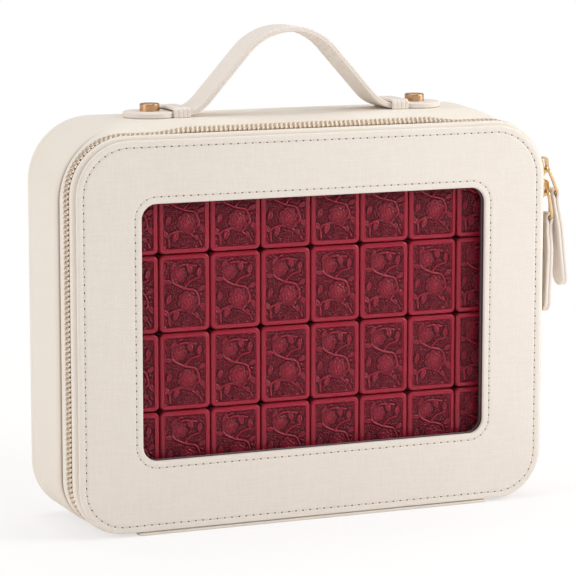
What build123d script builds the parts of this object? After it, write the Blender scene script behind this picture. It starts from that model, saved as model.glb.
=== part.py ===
from build123d import *
import os
from math import cos, radians, sin, tan

os.makedirs("parts", exist_ok=True)

# All sizes are in millimetres: X to the right, Y to the back, Z up, origin on the table under the case
case_width = 214.0
case_height = 163.6
case_depth = 56.7
top_radius = 25.0  # corners of the case seen from the front
bottom_radius = 22.0
crown = 3.5  # the top of the rear shell swells this far above the front panel
crown_run = 11.2  # distance behind the lip in which it swells
crown_softness = 7.0  # added to the top corner radii where the shell is fullest
side_swell = 0.9  # the shell's sides swell this far
back_radius = 4.5  # rounded edge round the back panel
edge_step = 0.6  # the bands beside the zip sit this far inside the case's outline
band_edge_radius = 1.2  # front edge of the lid's band
panel_step = 2.4  # front panel inside the case's outline at the sides and top
panel_lift = 0.3  # front panel above the bottom of the case
seam_inset = 6.4  # the lid's band is turned in behind the front panel as far as this

# Sheet materials
leather = 1.4
panel_thickness = 1.8  # front leather with its turned edge
panel_edge_radius = 0.8
board = 1.6  # stiffener
glue = 0.1
seat_gap = 0.05  # under the handle's flat ends
lining = 0.6
seam_setback = 7.0  # the back panel's seam, in front of the back

# Window in the front panel
window_width = 154.4
window_height = 105.9
window_radius = 6.5
window_rise = 29.5  # lower edge of the window above the bottom of the case
pane_thickness = 0.5
pane_overlap = 8.0  # hidden border of the clear pane
facing_width = 10.0  # leather strip that holds the pane from inside
facing_thickness = 0.8

# Zip
zip_setback = 8.25  # middle of the chain behind the front face
lid_lip = 3.4  # edge of the lid leather in front of the middle
case_lip = 3.4  # edge of the case leather behind the middle
tape_thickness = 0.6
tape_clearance = 0.1
tape_end_gap = 0.3  # behind the case tape
tape_half_gap = 1.2  # each tape stops this far from the middle
tape_width = 8.0
chain_height = 1.8  # rows of teeth above their tapes
chain_reach = 3.0  # each row's width, from the middle
chain_gap = 0.1  # between the two rows

# Leather strip under the case, which is also the hinge of the lid
strip_length = 158.0
strip_thickness = 1.2
strip_setback = 1.0  # front edge behind the front face
strip_back = 20.0
strip_corner = 1.5
fold_gap = 0.3  # between the two halves of the strip
zip_tuck = 4.0  # the zip runs this far past the ends of the strip

# Tiles and the foam collar round them
tile_gap = 0.4
tile_corner = 2.4
tile_edge = 1.0
tile_frame = 2.0  # smooth border round the carved field
carving_depth = 0.7
columns = 8
rows = 4
layers = ["tiles_front", "tiles_middle", "tiles_rear"]
layer_gap = 0.3
layer_clearance = 1.0  # behind the rear layer
tile_setback = 7.0  # tile faces behind the front face
grid_side = 17.36  # from the case's outline to the tiles at each side, below and above
grid_foot = 16.3
grid_head = 18.1
collar_clearance = 0.3
collar_setback = 1.5  # collar behind the tile faces

# Handle
strap_width = 17.0
strap_thickness = 2.4
tab_radius = 11.2
tab_edge = 0.5
tab_middle = 60.5  # middle of each round tab from the middle of the case
handle_offset = 1.2  # handle behind the middle of the shell's top
handle_height = 36.3  # underside of the arch to the top of the case, at the middle, with the strap
leg_angle = 48.0
apex_radius = 26.0
foot_radius = 16.0
flex_height = 12.0  # the lower legs of the strap twist up to this height
keeper_middle = 49.6
keeper_length = 7.6
keeper_wall = 1.2
keeper_edge = 0.9
keeper_clearance = 0.3
stud_radius = 4.15
stud_height = 3.2
stud_edge = 0.6
shank_radius = 1.6
hole_clearance = 0.1
washer_radius = 4.5
washer_thickness = 0.8
washer_gap = 0.1
washer_clearance = 0.3
screw_head_radius = 3.0
screw_head_height = 1.2
screw_radius = 1.0
screw_slot = 0.8
screw_reach = 0.8  # share of the hollow shank that the screw fills

# Zip sliders and pulls
slider_length = 8.5
slider_width = 6.6
slider_thickness = 1.1
slider_gap = 0.15  # plate to the case outline
slider_corner = 1.6
slider_edge = 0.35
bridge_length = 7.0
bridge_height = 3.4
bridge_width = 1.8
bridge_wall = 1.1
bridge_corner = 1.6
ring_wire = 1.4
ring_width = 9.0
ring_length = 11.5
ring_corner = 1.6
ring_drop = 1.2  # ring below the middle of its slider
ring_clearance = 0.4
pull_length = 41.0
pull_width = 9.0
pull_neck = 5.2
pull_neck_length = 6.0
pull_shoulder = 8.0  # length in which the pull widens
pull_thickness = 3.2
pull_loop_radius = 2.0
wire_clearance = 0.15
upper_slider_turn = 8.0  # degrees round the top corner
lower_slider_drop = 6.0  # below the top corner
upper_ring_lean = 24.0  # degrees out from straight down
lower_ring_lean = 10.0  # degrees
upper_pull_lean = 6.5  # degrees
lower_pull_lean = -2.0  # degrees

# Places that follow from the sizes
front_y = -case_depth / 2
back_y = case_depth / 2
zip_y = front_y + zip_setback
case_bottom = strip_thickness
case_top = case_bottom + case_height
shell_front = zip_y + case_lip
tape_back = zip_y + tape_half_gap + tape_width
seam_y = back_y - seam_setback
lid_band_front = front_y + panel_thickness
lid_band_back = zip_y - lid_lip
band_inset = edge_step + leather
flange_back = lid_band_front + leather
lining_front_inset = band_inset + tape_thickness + tape_clearance
board_inset = leather + glue
lining_inset = board_inset + board
inside_inset = lining_inset + lining
pane_front = lid_band_front + board
pane_back = pane_front + pane_thickness
window_middle = case_bottom + window_rise + window_height / 2
back_board_front = back_y - board_inset - board
tile_front = front_y + tile_setback
grid_width = case_width - 2 * grid_side
grid_height = case_height - grid_foot - grid_head
grid_middle = case_bottom + grid_foot + grid_height / 2
column_pitch = (grid_width + tile_gap) / columns
row_pitch = (grid_height + tile_gap) / rows
layer_pitch = (back_board_front - layer_clearance + layer_gap - tile_front) / len(layers)
tile_width = column_pitch - tile_gap
tile_height = row_pitch - tile_gap
tile_thickness = layer_pitch - layer_gap
zip_end = strip_length / 2 - zip_tuck
handle_y = (shell_front + back_y) / 2 + handle_offset
handle_seat = case_top + crown + seat_gap
tab_top = handle_seat + strap_thickness
stud_places = [(-tab_middle, handle_y), (tab_middle, handle_y)]
stud_seats = [(x, y, handle_seat) for x, y in stud_places]


def facing(y):
    """Sketch plane across the case at depth y, seen from the front."""
    return Plane(origin=(0, y, 0), x_dir=(1, 0, 0), z_dir=(0, -1, 0))


def write(piece, name):
    """Label a finished piece and write its file."""
    piece.part.label = name
    export_step(piece.part, f"parts/{name}.step")


def case_outline(inset, narrow=0.0, rise=0.0, soften=0.0):
    """Rounded outline of the case, inset all round, narrower but at the bottom, its top raised by rise.

    The radii of its top corners are larger by soften.
    """
    side = case_width / 2 - inset - narrow
    low = case_bottom + inset
    high = case_top - inset - narrow + rise
    low_radius = bottom_radius - inset - narrow
    high_radius = top_radius - inset - narrow + soften
    with BuildSketch() as outline:
        with BuildLine():
            FilletPolyline(
                (-side, low),
                (side, low),
                (side, high),
                (-side, high),
                radius=[low_radius, low_radius, high_radius, high_radius],
                close=True,
            )
        make_face()
    return outline.sketch


def window_outline(grow):
    """Rounded outline of the window, grown outwards."""
    with BuildSketch() as outline:
        with Locations((0, window_middle)):
            RectangleRounded(
                window_width + 2 * grow,
                window_height + 2 * grow,
                window_radius + grow,
            )
    return outline.sketch


def crowned_block(inset):
    """Solid of the rear shell, drawn inset from its outer surface."""
    with BuildPart() as block:
        with BuildSketch(facing(shell_front)):
            add(case_outline(inset, narrow=edge_step))
        with BuildSketch(facing(shell_front + crown_run)):
            add(case_outline(inset, -side_swell, crown - side_swell, crown_softness))
        with BuildSketch(facing(back_y - inset)):
            add(case_outline(inset, -side_swell, crown - side_swell))
        loft(ruled=True)
        fillet(block.faces().sort_by(Axis.Y)[-1].edges(), back_radius - inset)
    return block.part


# Lid: the front panel, what stiffens it, the window and the lid's side

with BuildPart() as front_panel:
    with BuildSketch(facing(front_y)):
        add(case_outline(panel_lift, narrow=panel_step - panel_lift))
        add(window_outline(0), mode=Mode.SUBTRACT)
    extrude(amount=-panel_thickness)
    fillet(front_panel.faces().sort_by(Axis.Y)[0].outer_wire().edges(), panel_edge_radius)
write(front_panel, "front_panel")

with BuildPart() as front_board:
    with BuildSketch(facing(lid_band_front)):
        add(case_outline(seam_inset + glue))
        add(window_outline(0), mode=Mode.SUBTRACT)
    extrude(amount=-board)
write(front_board, "front_board")

with BuildPart() as window_pane:
    with BuildSketch(facing(pane_front)):
        add(window_outline(pane_overlap))
    extrude(amount=-pane_thickness)
write(window_pane, "window_pane")

with BuildPart() as lid_lining:
    with BuildSketch(facing(pane_front)):
        add(case_outline(lining_front_inset))
        add(window_outline(pane_overlap + tape_clearance), mode=Mode.SUBTRACT)
    extrude(amount=-pane_thickness)
write(lid_lining, "lid_lining")

with BuildPart() as window_facing:
    with BuildSketch(facing(pane_back)):
        add(window_outline(facing_width))
        add(window_outline(0), mode=Mode.SUBTRACT)
    extrude(amount=-facing_thickness)
write(window_facing, "window_facing")

with BuildPart() as lid_gusset:
    with BuildSketch(facing(lid_band_front)):
        add(case_outline(0, narrow=edge_step))
        add(case_outline(leather, narrow=edge_step), mode=Mode.SUBTRACT)
    extrude(amount=lid_band_front - lid_band_back)
    with BuildSketch(facing(lid_band_front)):
        add(case_outline(0, narrow=edge_step))
        add(case_outline(seam_inset), mode=Mode.SUBTRACT)
    extrude(amount=-leather)
    fillet(lid_gusset.faces().sort_by(Axis.Y)[0].outer_wire().edges(), band_edge_radius)
write(lid_gusset, "lid_gusset")

# Rear shell, from the outside in

with BuildPart() as case_gusset:
    add(crowned_block(0))
    add(crowned_block(leather), mode=Mode.SUBTRACT)
    split(bisect_by=facing(seam_y), keep=Keep.TOP)
    with Locations(*stud_seats):
        Cylinder(shank_radius + hole_clearance, 4 * leather, mode=Mode.SUBTRACT)
write(case_gusset, "case_gusset")

with BuildPart() as back_panel:
    add(crowned_block(0))
    add(crowned_block(leather), mode=Mode.SUBTRACT)
    split(bisect_by=facing(seam_y), keep=Keep.BOTTOM)
write(back_panel, "back_panel")

with BuildPart() as side_board:
    add(crowned_block(board_inset))
    add(crowned_block(lining_inset), mode=Mode.SUBTRACT)
    split(bisect_by=facing(back_board_front), keep=Keep.TOP)
    split(bisect_by=facing(tape_back + tape_end_gap), keep=Keep.BOTTOM)
    with Locations(*stud_seats):
        Cylinder(shank_radius + hole_clearance, 4 * lining_inset, mode=Mode.SUBTRACT)
write(side_board, "side_board")

with BuildPart() as back_board:
    add(crowned_block(board_inset))
    split(bisect_by=facing(back_board_front), keep=Keep.BOTTOM)
write(back_board, "back_board")

with BuildPart() as case_lining:
    add(crowned_block(lining_inset))
    add(crowned_block(inside_inset), mode=Mode.SUBTRACT)
    split(bisect_by=facing(tape_back + tape_end_gap), keep=Keep.BOTTOM)
    with Locations(*stud_seats):
        Cylinder(washer_radius + washer_clearance, 4 * inside_inset, mode=Mode.SUBTRACT)
write(case_lining, "case_lining")

# Zip: two tapes, and a row of teeth on the edge of each, open under the case where the strip is

zip_spans = {
    "zip_tape_lid": (flange_back, zip_y - tape_half_gap),
    "zip_tape_case": (zip_y + tape_half_gap, tape_back),
    "zip_chain_lid": (zip_y - chain_reach, zip_y - chain_gap / 2),
    "zip_chain_case": (zip_y + chain_gap / 2, zip_y + chain_reach),
}
zip_layers = {
    "zip_tape": (band_inset, tape_thickness),
    "zip_chain": (band_inset - chain_height, chain_height),
}
for name, (front, back) in zip_spans.items():
    inset, thickness = zip_layers[name.rsplit("_", 1)[0]]
    with BuildPart() as zip_part:
        with BuildSketch(facing(front)):
            add(case_outline(inset))
            add(case_outline(inset + thickness), mode=Mode.SUBTRACT)
        extrude(amount=front - back)
        with Locations((0, zip_y, case_bottom)):
            Box(2 * zip_end, 4 * tape_width, bottom_radius, mode=Mode.SUBTRACT)
    write(zip_part, name)

# Strip under the case, in two halves that meet at the fold

with BuildPart() as hinge_strip_lid:
    with BuildSketch(Plane.XY):
        with Locations((0, (front_y + strip_setback + zip_y - fold_gap / 2) / 2)):
            Rectangle(strip_length, zip_setback - strip_setback - fold_gap / 2)
    extrude(amount=strip_thickness)
    fillet(hinge_strip_lid.edges().filter_by(Axis.Z).group_by(Axis.Y)[0], strip_corner)
write(hinge_strip_lid, "hinge_strip_lid")

with BuildPart() as hinge_strip_case:
    with BuildSketch(Plane.XY):
        with Locations((0, (zip_y + fold_gap / 2 + strip_back) / 2)):
            Rectangle(strip_length, strip_back - zip_y - fold_gap / 2)
    extrude(amount=strip_thickness)
    fillet(hinge_strip_case.edges().filter_by(Axis.Z).group_by(Axis.Y)[-1], strip_corner)
write(hinge_strip_case, "hinge_strip_case")

# Tiles in their foam collar

with BuildPart() as tile_collar:
    with BuildSketch(facing(tile_front + collar_setback)):
        add(case_outline(inside_inset + collar_clearance, edge_step, soften=crown_softness))
        with Locations((0, grid_middle)):
            Rectangle(
                grid_width + 2 * collar_clearance,
                grid_height + 2 * collar_clearance,
                mode=Mode.SUBTRACT,
            )
    extrude(amount=tile_front + collar_setback - (back_y - inside_inset - collar_clearance))
write(tile_collar, "tile_collar")

for layer, name in enumerate(layers):
    layer_front = tile_front + layer * layer_pitch
    with BuildPart() as tiles:
        with BuildSketch(facing(layer_front)):
            with Locations((0, grid_middle)):
                with GridLocations(column_pitch, row_pitch, columns, rows):
                    RectangleRounded(tile_width, tile_height, tile_corner)
        extrude(amount=-tile_thickness)
        if layer == 0:
            front_edges = tiles.edges().group_by(Axis.Y)[0]
            fillet(front_edges, tile_edge)
            with BuildSketch(facing(layer_front)):
                with Locations((0, grid_middle)):
                    with GridLocations(column_pitch, row_pitch, columns, rows):
                        RectangleRounded(
                            tile_width - 2 * tile_frame,
                            tile_height - 2 * tile_frame,
                            tile_corner - tile_edge,
                        )
            extrude(amount=-carving_depth, mode=Mode.SUBTRACT)
    write(tiles, name)

# Handle strap: one arch, two legs that twist, two flat ends with round tabs

strap_middle = handle_seat + strap_thickness / 2
apex_middle = handle_seat + handle_height - strap_thickness / 2
leg_half_angle = radians(leg_angle)
corner_rise = apex_radius * (1 / cos(leg_half_angle) - 1)
peak = apex_middle + corner_rise
foot_x = (peak - strap_middle) / tan(leg_half_angle)
keeper_inner = keeper_middle - keeper_length / 2


def strap():
    """The whole strap between the round tabs, as one bent bar."""
    with BuildPart() as bar:
        with BuildLine(Plane.XZ.offset(-handle_y)) as path:
            FilletPolyline(
                (-tab_middle, strap_middle),
                (-foot_x, strap_middle),
                (0, peak),
                (foot_x, strap_middle),
                (tab_middle, strap_middle),
                radius=[foot_radius, apex_radius, foot_radius],
            )
        with BuildSketch(Plane(origin=path.wire() @ 0, x_dir=(0, 1, 0), z_dir=path.wire() % 0)):
            Rectangle(strap_width, strap_thickness)
        sweep(path=path.wire())
    return bar.part


strap_bar = strap()
grip_bottom = handle_seat + flex_height

with BuildPart() as handle_grip:
    add(strap_bar)
    split(bisect_by=Plane.XY.offset(grip_bottom), keep=Keep.TOP)
write(handle_grip, "handle_grip")

for side, name in ((-1, "left"), (1, "right")):
    keeper_face = Plane(origin=(side * keeper_inner, 0, 0), z_dir=(side, 0, 0))
    with BuildPart() as handle_leg:
        add(strap_bar)
        split(bisect_by=Plane.XY.offset(grip_bottom), keep=Keep.BOTTOM)
        split(bisect_by=Plane(origin=(0, 0, 0), z_dir=(side, 0, 0)), keep=Keep.TOP)
        split(bisect_by=keeper_face, keep=Keep.BOTTOM)
    write(handle_leg, f"handle_leg_{name}")

    with BuildPart() as strap_end:
        add(strap_bar)
        split(bisect_by=keeper_face, keep=Keep.TOP)

    with BuildPart() as handle_tab:
        with BuildSketch(Plane.XY.offset(handle_seat)):
            with Locations((side * tab_middle, handle_y)):
                Circle(tab_radius)
        extrude(amount=strap_thickness)
        fillet(handle_tab.edges().filter_by(GeomType.CIRCLE).group_by(Axis.Z)[-1], tab_edge)
        add(strap_end.part)
        with Locations((side * tab_middle, handle_y, handle_seat)):
            Cylinder(shank_radius + hole_clearance, 4 * strap_thickness, mode=Mode.SUBTRACT)
    write(handle_tab, f"handle_tab_{name}")

keeper_inner_half = strap_width / 2 + keeper_clearance
keeper_inner_rise = strap_thickness + 2 * keeper_clearance
with BuildPart() as handle_keepers:
    for side in (-1, 1):
        keeper_plane = Plane(
            origin=(side * keeper_middle, handle_y, handle_seat),
            x_dir=(0, 1, 0),
            z_dir=(1, 0, 0),
        )
        with BuildSketch(keeper_plane):
            Rectangle(
                2 * (keeper_inner_half + keeper_wall),
                keeper_inner_rise + keeper_wall,
                align=(Align.CENTER, Align.MIN),
            )
            Rectangle(
                2 * keeper_inner_half,
                keeper_inner_rise,
                align=(Align.CENTER, Align.MIN),
                mode=Mode.SUBTRACT,
            )
        extrude(amount=keeper_length / 2, both=True)
    long_edges = handle_keepers.edges().filter_by(Axis.X)
    fillet(long_edges.group_by(Axis.Z)[-1], keeper_edge)
write(handle_keepers, "handle_keepers")

# Studs that hold the tabs: head and hollow shank outside, washer and screw inside

washer_top = case_top + crown - lining_inset - washer_gap
with BuildPart() as handle_studs:
    with BuildSketch(Plane.XY.offset(tab_top)):
        with Locations(*stud_places):
            Circle(stud_radius)
    extrude(amount=stud_height)
    fillet(handle_studs.edges().group_by(Axis.Z)[-1], stud_edge)
    with BuildSketch(Plane.XY.offset(washer_top)):
        with Locations(*stud_places):
            Circle(shank_radius)
    extrude(amount=tab_top - washer_top)
    with BuildSketch(Plane.XY.offset(washer_top)):
        with Locations(*stud_places):
            Circle(screw_radius)
    extrude(amount=tab_top - washer_top, mode=Mode.SUBTRACT)
write(handle_studs, "handle_studs")

with BuildPart() as stud_washers:
    with BuildSketch(Plane.XY.offset(washer_top)):
        with Locations(*stud_places):
            Circle(washer_radius)
            Circle(screw_radius, mode=Mode.SUBTRACT)
    extrude(amount=-washer_thickness)
write(stud_washers, "stud_washers")

screw_seat = washer_top - washer_thickness
with BuildPart() as stud_screws:
    with BuildSketch(Plane.XY.offset(screw_seat)):
        with Locations(*stud_places):
            Circle(screw_head_radius)
    extrude(amount=-screw_head_height)
    with BuildSketch(Plane.XY.offset(screw_seat - screw_head_height)):
        with Locations(*stud_places):
            Rectangle(2 * screw_head_radius, screw_slot)
    extrude(amount=screw_head_height / 2, mode=Mode.SUBTRACT)
    with BuildSketch(Plane.XY.offset(screw_seat)):
        with Locations(*stud_places):
            Circle(screw_radius)
    extrude(amount=(tab_top - screw_seat) * screw_reach)
write(stud_screws, "stud_screws")

# Zip sliders, their rings and leather pulls. A slider frame has x to the back, y up, z outwards

corner_x = case_width / 2 - top_radius
corner_z = case_top - top_radius
turn = radians(upper_slider_turn)
slider_frames = {
    "upper": Plane(
        origin=(corner_x + top_radius * cos(turn), zip_y, corner_z + top_radius * sin(turn)),
        x_dir=(0, 1, 0),
        z_dir=(cos(turn), 0, sin(turn)),
    ),
    "lower": Plane(
        origin=(case_width / 2, zip_y, case_top - top_radius - lower_slider_drop),
        x_dir=(0, 1, 0),
        z_dir=(1, 0, 0),
    ),
}
ring_leans = {"upper": upper_ring_lean, "lower": lower_ring_lean}
pull_leans = {"upper": upper_pull_lean, "lower": lower_pull_lean}
plate_top = slider_gap + slider_thickness
ring_pivot_height = plate_top + ring_clearance + ring_wire / 2


def hanging_frame(pivot, lean):
    """Plane through a pivot along Y, its y pointing up the hanging piece and z outwards."""
    angle = radians(lean)
    return Plane(origin=pivot, x_dir=(0, 1, 0), z_dir=(cos(angle), 0, sin(angle)))


for name, frame in slider_frames.items():
    with BuildPart() as slider:
        with BuildSketch(frame.offset(slider_gap)):
            RectangleRounded(slider_width, slider_length, slider_corner)
        extrude(amount=slider_thickness)
        outer_face = slider.faces().sort_by(Axis(frame.origin, frame.z_dir))[-1]
        fillet(outer_face.edges(), slider_edge)
        bridge_plane = Plane(origin=frame.origin, x_dir=frame.y_dir, z_dir=frame.x_dir)
        with BuildSketch(bridge_plane):
            with Locations((0, plate_top + bridge_height / 2 - slider_edge / 2)):
                RectangleRounded(bridge_length, bridge_height + slider_edge, bridge_corner)
            with Locations((0, plate_top + (bridge_height - bridge_wall) / 2)):
                RectangleRounded(
                    bridge_length - 2 * bridge_wall,
                    bridge_height - bridge_wall,
                    bridge_corner / 2,
                    mode=Mode.SUBTRACT,
                )
        extrude(amount=bridge_width / 2, both=True)
    write(slider, f"{name}_slider")

    pivot = frame.from_local_coords(Vector(0, -ring_drop, ring_pivot_height))
    ring_frame = hanging_frame(pivot, ring_leans[name])
    with BuildPart() as ring:
        with BuildLine(ring_frame) as ring_path:
            FilletPolyline(
                (-ring_width / 2, 0),
                (-ring_width / 2, -ring_length),
                (ring_width / 2, -ring_length),
                (ring_width / 2, 0),
                radius=ring_corner,
                close=True,
            )
        ring_wire_path = ring_path.wire()
        with BuildSketch(Plane(origin=ring_wire_path @ 0, z_dir=ring_wire_path % 0)):
            Circle(ring_wire / 2)
        sweep(path=ring_wire_path)
    write(ring, f"{name}_ring")

    foot = ring_frame.from_local_coords(Vector(0, -ring_length, 0))
    pull_frame = hanging_frame(foot, pull_leans[name])
    pull_side = Plane(origin=foot, x_dir=-pull_frame.y_dir, z_dir=-pull_frame.x_dir)
    with BuildPart() as pull:
        with BuildSketch(pull_side):
            Circle(pull_loop_radius)
            with Locations((pull_length / 2, 0)):
                Rectangle(pull_length, pull_thickness)
            Circle(ring_wire / 2 + wire_clearance, mode=Mode.SUBTRACT)
        extrude(amount=pull_width / 2, both=True)
        shoulder_start = -pull_neck_length
        shoulder_end = shoulder_start - pull_shoulder
        with BuildSketch(pull_frame):
            with BuildLine():
                Polyline(
                    (-pull_neck / 2, pull_loop_radius),
                    (-pull_neck / 2, shoulder_start),
                    (-pull_width / 2, shoulder_end),
                    (-pull_width / 2, pull_width / 2 - pull_length),
                )
                ThreePointArc(
                    (-pull_width / 2, pull_width / 2 - pull_length),
                    (0, -pull_length),
                    (pull_width / 2, pull_width / 2 - pull_length),
                )
                Polyline(
                    (pull_width / 2, pull_width / 2 - pull_length),
                    (pull_width / 2, shoulder_end),
                    (pull_neck / 2, shoulder_start),
                    (pull_neck / 2, pull_loop_radius),
                    (-pull_neck / 2, pull_loop_radius),
                )
            make_face()
        extrude(amount=pull_loop_radius, both=True, mode=Mode.INTERSECT)
    write(pull, f"{name}_pull")
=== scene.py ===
import math
import bmesh
import bpy
import numpy as np
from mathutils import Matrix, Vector


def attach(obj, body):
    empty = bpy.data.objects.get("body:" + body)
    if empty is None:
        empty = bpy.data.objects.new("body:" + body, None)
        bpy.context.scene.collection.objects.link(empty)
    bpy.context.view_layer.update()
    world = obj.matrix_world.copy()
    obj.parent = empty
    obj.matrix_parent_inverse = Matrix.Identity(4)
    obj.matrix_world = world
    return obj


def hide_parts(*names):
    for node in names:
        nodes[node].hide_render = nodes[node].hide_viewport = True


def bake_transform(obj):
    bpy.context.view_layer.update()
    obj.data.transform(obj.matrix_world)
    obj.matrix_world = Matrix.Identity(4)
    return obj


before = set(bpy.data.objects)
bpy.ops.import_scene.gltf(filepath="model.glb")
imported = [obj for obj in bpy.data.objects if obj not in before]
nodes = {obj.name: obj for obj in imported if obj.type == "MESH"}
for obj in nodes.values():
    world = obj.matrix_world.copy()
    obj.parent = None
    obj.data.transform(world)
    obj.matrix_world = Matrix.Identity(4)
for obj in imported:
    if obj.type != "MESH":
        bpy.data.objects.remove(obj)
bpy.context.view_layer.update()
mm = 0.001  # shapes are worked out in millimetres and made in metres
mergeGap = 0.002 * mm  # points closer than this become one
sliver = 0.0005 * mm  # edges shorter than this go


# small tools

def hexColour(text):
    # sRGB hex to linear RGBA
    value = np.array([int(text[i:i + 2], 16) for i in (1, 3, 5)]) / 255
    linear = np.where(value <= 0.04045, value / 12.92, ((value + 0.055) / 1.055) ** 2.4)
    return (*linear.tolist(), 1.0)


def addNode(tree, kind, settings=None, links=None):
    # one shader node, its settings by socket or property name, and what feeds it: a socket, or a node
    # for its first output
    node = tree.nodes.new("ShaderNode" + kind)
    for key, value in (settings or {}).items():
        if isinstance(value, str) and value.startswith("#"):
            value = hexColour(value)
        if isinstance(key, int) or key in node.inputs:
            node.inputs[key].default_value = value
        else:
            setattr(node, key, value)
    for key, source in (links or {}).items():
        socket = source if isinstance(source, bpy.types.NodeSocket) else source.outputs[0]
        tree.links.new(socket, node.inputs[key])
    return node


def emptyTree(owner):
    # the node tree of a material or world, with nothing in it yet
    owner.use_nodes = True
    owner.node_tree.nodes.clear()
    return owner.node_tree


def makeMesh(name, points, faces, material, uv=None, reliefShades=None, tidy=True):
    # points in mm as rows of x, y, z; faces as lists of point numbers
    mesh = bpy.data.meshes.new(name)
    mesh.from_pydata((np.asarray(points, float).reshape(-1, 3) * mm).tolist(), [], faces)
    mesh.polygons.foreach_set("use_smooth", np.ones(len(mesh.polygons), bool))
    loops = np.empty(len(mesh.loops), np.int32)
    mesh.loops.foreach_get("vertex_index", loops)
    if uv is not None:
        layer = mesh.uv_layers.new(name="pattern")
        layer.data.foreach_set("uv", np.asarray(uv, np.float32).reshape(-1, 2)[loops].ravel())
    # a share per point that the material reads: painted shade along the shell's crease, carving height on the
    # tiles
    if reliefShades is not None:
        reliefShade = mesh.attributes.new("reliefShade", "FLOAT", "POINT")
        reliefShade.data.foreach_set("value", np.asarray(reliefShades, np.float32).ravel())
    if tidy:
        work = bmesh.new()
        work.from_mesh(mesh)
        bmesh.ops.remove_doubles(work, verts=work.verts, dist=mergeGap)
        bmesh.ops.dissolve_degenerate(work, dist=sliver, edges=work.edges)
        bmesh.ops.recalc_face_normals(work, faces=work.faces)
        work.to_mesh(mesh)
        work.free()
    piece = bpy.data.objects.new(name, mesh)
    bpy.context.scene.collection.objects.link(piece)
    mesh.materials.append(material)
    return piece


def gridFaces(rows, columns, wrapRows=False, wrapColumns=False):
    # quads between neighbours of a grid of points, numbered row by row
    r = np.arange(rows if wrapRows else rows - 1)[:, None]
    c = np.arange(columns if wrapColumns else columns - 1)[None, :]
    nextR, nextC = (r + 1) % rows, (c + 1) % columns
    quads = np.stack([r * columns + c, nextR * columns + c, nextR * columns + nextC, r * columns + nextC], -1)
    return quads.reshape(-1, 4).tolist()


def ride(piece, body, slot, *replaced):
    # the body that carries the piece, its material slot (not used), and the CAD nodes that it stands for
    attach(piece, body)
    if replaced:
        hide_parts(*replaced)
    return piece


def unit(vectors):
    # each vector divided by its own length
    return vectors / np.maximum(np.linalg.norm(vectors, axis=-1, keepdims=True), 1e-9)


def leftOf(x, y):
    # unit vectors a quarter turn to the left of the way along a line
    onward = unit(np.stack([np.gradient(x), np.gradient(y)], -1))
    return np.stack([-onward[:, 1], onward[:, 0]], -1)


def carried(x, z, offsets, middle, sideways):
    # a section carried along a line in x and z: offsets to the left of its way, sideways from the middle in y
    left = leftOf(x, z)
    x, z = x[:, None] + left[:, :1] * offsets, z[:, None] + left[:, 1:] * offsets
    return np.stack(np.broadcast_arrays(x, middle + sideways, z), -1)


def smooth(share):
    # 0 to 1, eased at both ends
    return share * share * (3 - 2 * share)


def rounding(distance, radius):
    # how far a face has dropped at a distance from its rounded edge: a quarter circle
    left = np.clip(radius - distance, 0, radius)
    return radius - np.sqrt(np.clip(radius ** 2 - left ** 2, 0, None))


def arc(middle, radius, start, stop, count):
    # points of an arc, angles in degrees from the first axis to the second
    turn = np.radians(np.linspace(start, stop, count))
    return np.stack([middle[0] + radius * np.cos(turn), middle[1] + radius * np.sin(turn)], 1)


# camera, floor and light

view = {
    "place": (-0.4666, -1.09767, 0.27969),
    "yaw": 22.97,  # degrees to the right of straight ahead
    "pitch": 8.85,  # degrees down
    "lens": 178.2,
    "sensor": 36.0,
    "clipEnd": 10,
}
camera = bpy.data.objects.new("camera", bpy.data.cameras.new("camera"))
bpy.context.scene.collection.objects.link(camera)
camera.location = view["place"]
yaw, pitch = math.radians(view["yaw"]), math.radians(view["pitch"])
ahead = Vector((math.sin(yaw) * math.cos(pitch), math.cos(yaw) * math.cos(pitch), -math.sin(pitch)))
camera.rotation_euler = ahead.to_track_quat("-Z", "Y").to_euler()
camera.data.lens = view["lens"]
camera.data.sensor_width = view["sensor"]
camera.data.clip_end = view["clipEnd"]
bpy.context.scene.camera = camera
bpy.context.scene.view_settings.view_transform = "Standard"

studio = {
    "world": 0.46,
    "floorHalf": 6000,  # mm
    "floorGlow": 0.62,  # of the floor's look that doesn't come from the light on it
    "floorFade": (0.2, 0.5),  # metres from the middle between which the floor turns plain white
    "aim": (0, 0, 0.09),
    "lamps": {
        # name: place, size, watts
        "key": ((0.55, -0.36, 0.42), 0.45, 2.6),
        "fill": ((-1.2, -0.12, 0.5), 0.9, 4.9),
        "side": ((0.9, -0.25, 0.2), 0.4, 0.9),
        "top": ((0.0, 0.2, 1.3), 0.9, 5.4),
    },
}


def cameraWhite(tree):
    # 1 where the camera, a reflection or clear sheet looks straight at a surface
    path = addNode(tree, "LightPath")
    seen = path.outputs["Is Camera Ray"]
    for other in ("Is Glossy Ray", "Is Transmission Ray"):
        seen = addNode(tree, "Math", {"operation": "MAXIMUM"}, {0: seen, 1: path.outputs[other]})
    return seen


world = bpy.data.worlds.new("studio")
bpy.context.scene.world = world
tree = emptyTree(world)
soft = addNode(tree, "Background", {"Color": "#ffffff", "Strength": studio["world"]})
white = addNode(tree, "Background", {"Color": "#ffffff", "Strength": 1.0})
seen = addNode(tree, "LightPath").outputs["Is Camera Ray"]
both = addNode(tree, "MixShader", links={0: seen, 1: soft, 2: white})
addNode(tree, "OutputWorld", links={"Surface": both})

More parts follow.
